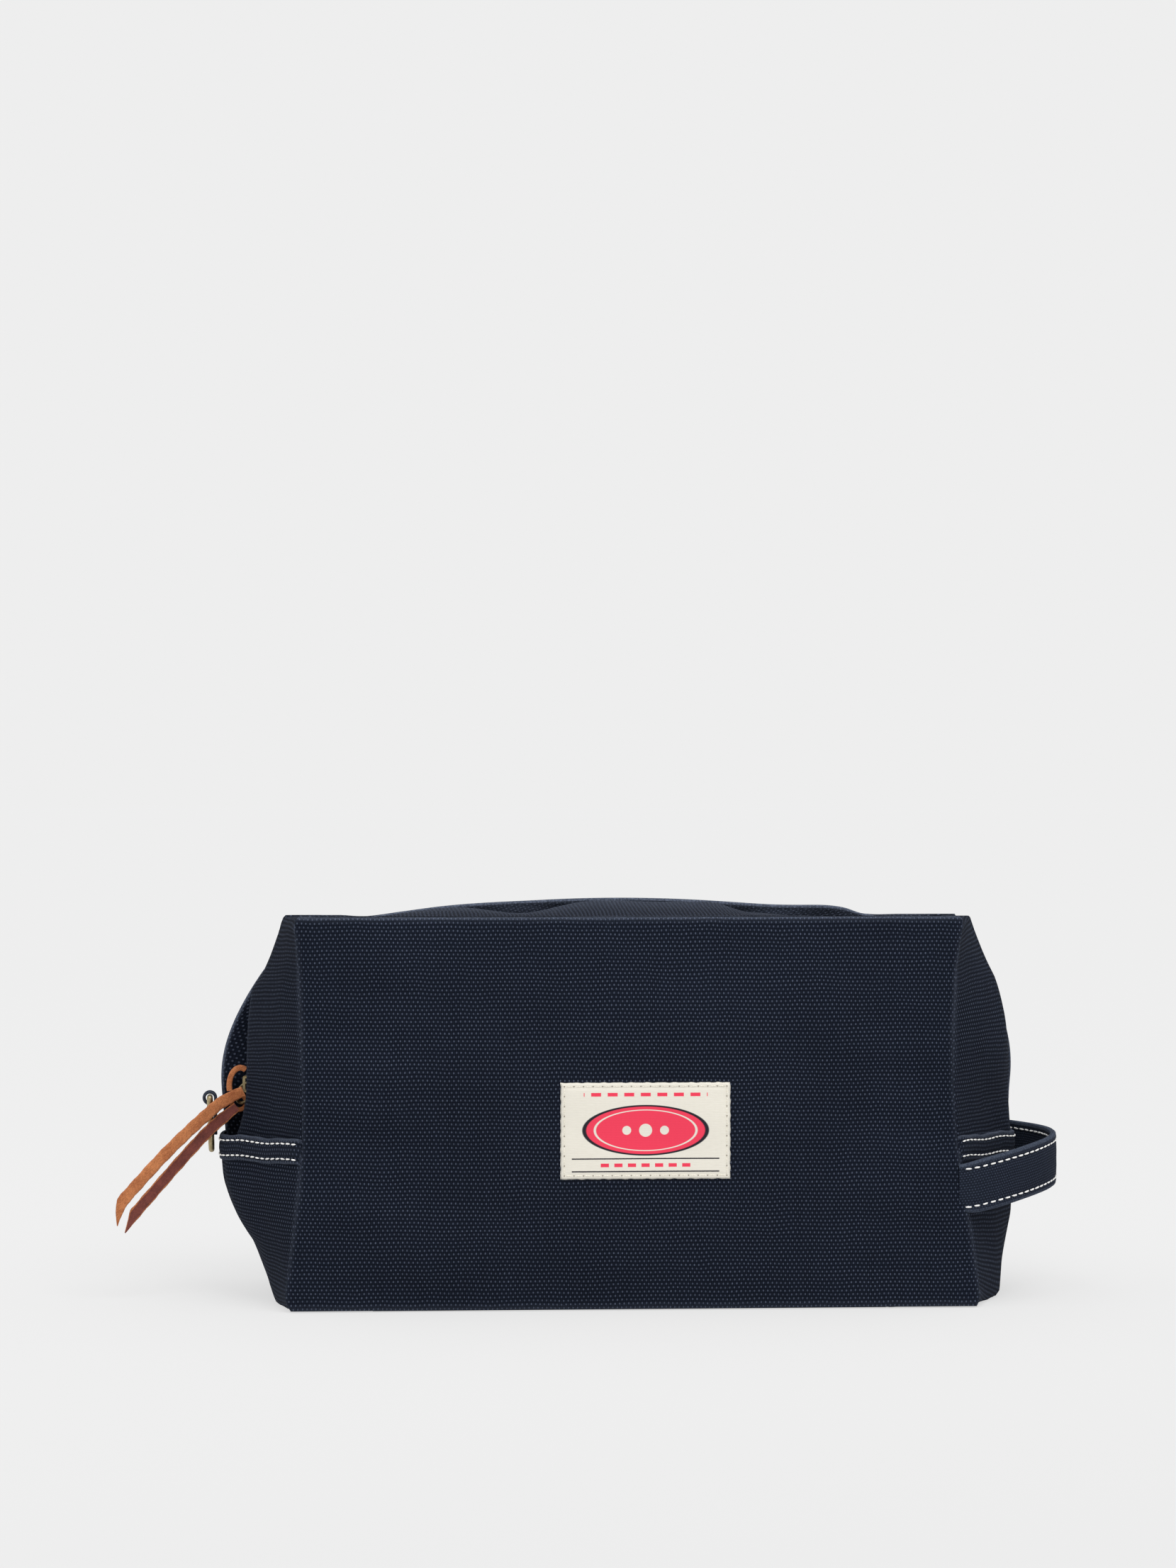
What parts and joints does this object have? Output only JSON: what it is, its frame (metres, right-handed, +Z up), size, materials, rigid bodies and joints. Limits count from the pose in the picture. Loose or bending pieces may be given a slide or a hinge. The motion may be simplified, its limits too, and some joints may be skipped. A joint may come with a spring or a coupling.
{
  "type": "shaving kit bag",
  "caption": "Boxy zipped canvas wash bag with a lace zip pull at one end, a D-ring on a tab, and a grab handle across the other end.",
  "frame": {"origin": "middle of the base, on the floor", "axes": "+X along the bag towards the grab handle, +Y from the labelled face to the back face, +Z up"},
  "size_m": [0.3322, 0.1068, 0.1389],
  "materials": {
    "canvas": "matt woven",
    "webbing": "matt woven, stitched",
    "lining": "matt",
    "zip_tape": "matt twill",
    "zip_metal": "aged",
    "aged_metal": "aged, satin",
    "label": "fine weave",
    "leather": "rough split hide"
  },
  "bodies": {
    "bag": {"front_panel": "canvas", "back_panel": "canvas", "bottom_panel": "canvas", "shoulder_left_front": "canvas", "shoulder_left_back": "canvas", "shoulder_right_front": "canvas", "shoulder_right_back": "canvas", "lining_front": "lining", "lining_back": "lining", "lining_base": "lining", "lining_shoulder_left_front": "lining", "lining_shoulder_left_back": "lining", "lining_shoulder_right_front": "lining", "lining_shoulder_right_back": "lining", "end_band_left": "webbing", "end_band_right": "webbing", "zip_tape_left_front": "zip_tape", "zip_tape_left_back": "zip_tape", "zip_tape_right_front": "zip_tape", "zip_tape_right_back": "zip_tape", "zip_teeth_left_front": "zip_metal", "zip_teeth_left_back": "zip_metal", "zip_teeth_right_front": "zip_metal", "zip_teeth_right_back": "zip_metal", "zip_stop_left_front": "zip_metal", "zip_stop_left_back": "zip_metal", "zip_stop_right": "zip_metal", "woven_label": "label", "d_ring_tab": "webbing", "handle_end_front": "webbing", "handle_end_back": "webbing"},
    "front_mouth": {"mouth_flap_front": "canvas", "lining_flap_front": "lining", "zip_tape_flap_front": "zip_tape", "zip_teeth_flap_front": "zip_metal"},
    "back_mouth": {"mouth_flap_back": "canvas", "lining_flap_back": "lining", "zip_tape_flap_back": "zip_tape", "zip_teeth_flap_back": "zip_metal"},
    "zip_slider": {"slider_body": "aged_metal", "slider_bridge": "aged_metal"},
    "pull_ring": {"pull_ring": "aged_metal", "lace_turn": "leather", "lace_bight": "leather"},
    "lace": {"lace_upper_tail": "leather", "lace_lower_tail": "leather"},
    "d_ring": {"d_ring": "aged_metal"},
    "handle": {"handle_strap": "webbing"}
  },
  "joints": [
    {"name": "front_mouth_hinge", "type": "hinge", "parent": "bag", "child": "front_mouth", "pos_m": [0, -0.049, 0.133], "axis": [1, 0, 0], "range_deg": [0, 70]},
    {"name": "back_mouth_hinge", "type": "hinge", "parent": "bag", "child": "back_mouth", "pos_m": [0, 0.049, 0.133], "axis": [1, 0, 0], "range_deg": [-70, 0]},
    {"name": "slider_run", "type": "hinge", "parent": "bag", "child": "zip_slider", "pos_m": [-0.068, 0, 0.072], "axis": [0, 1, 0], "range_deg": [0, 70]},
    {"name": "pull_ring_swing", "type": "hinge", "parent": "zip_slider", "child": "pull_ring", "pos_m": [-0.12895, 0, 0.0735], "axis": [0, 1, 0], "range_deg": [0, 12]},
    {"name": "lace_swing", "type": "hinge", "parent": "pull_ring", "child": "lace", "pos_m": [-0.13276, 0, 0.06716], "axis": [0, 1, 0], "range_deg": [0, 18]},
    {"name": "d_ring_swing", "type": "hinge", "parent": "bag", "child": "d_ring", "pos_m": [-0.1429, 0.0012, 0.0687], "axis": [0, 1, 0], "range_deg": [0, 120]},
    {"name": "handle_swing", "type": "hinge", "parent": "bag", "child": "handle", "pos_m": [0.1195, 0, 0.045], "axis": [0, 1, 0], "range_deg": [-15, 15], "stiffness_Nm_per_rad": 0.4}
  ],
  "couplings": [
    {"joint": "back_mouth_hinge", "follows": "front_mouth_hinge", "ratio": -1}
  ]
}
